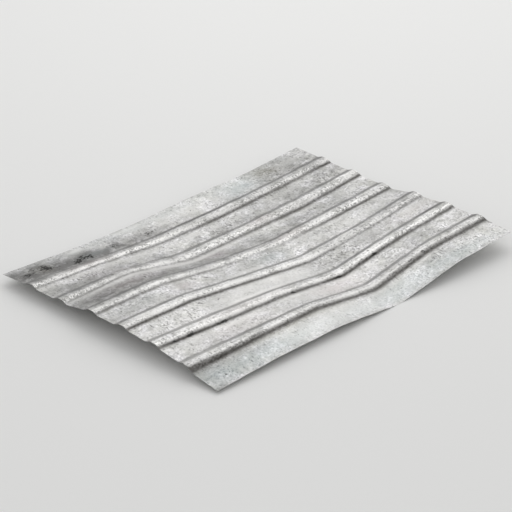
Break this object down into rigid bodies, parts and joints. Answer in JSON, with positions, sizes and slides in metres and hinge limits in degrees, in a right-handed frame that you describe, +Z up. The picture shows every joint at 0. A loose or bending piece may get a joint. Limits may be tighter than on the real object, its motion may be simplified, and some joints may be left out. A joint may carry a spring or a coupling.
{
  "type": "corrugated metal sheet",
  "caption": "Weathered galvanised corrugated metal sheet with low trapezoidal ribs, bent and waved along its length, lying loose.",
  "frame": {"origin": "middle of the bounding box's bottom face, on the floor the sheet lies on", "axes": "+X along the ribs, +Y across them to the back edge, +Z up from the floor"},
  "size_m": [1.5, 1.0961, 0.0837],
  "materials": {
    "galvanised_steel": "weathered hot-dip galvanised steel, dull spangle, dirt along the rib feet"
  },
  "bodies": {
    "root": {"corrugated_sheet": "galvanised_steel"}
  },
  "joints": []
}
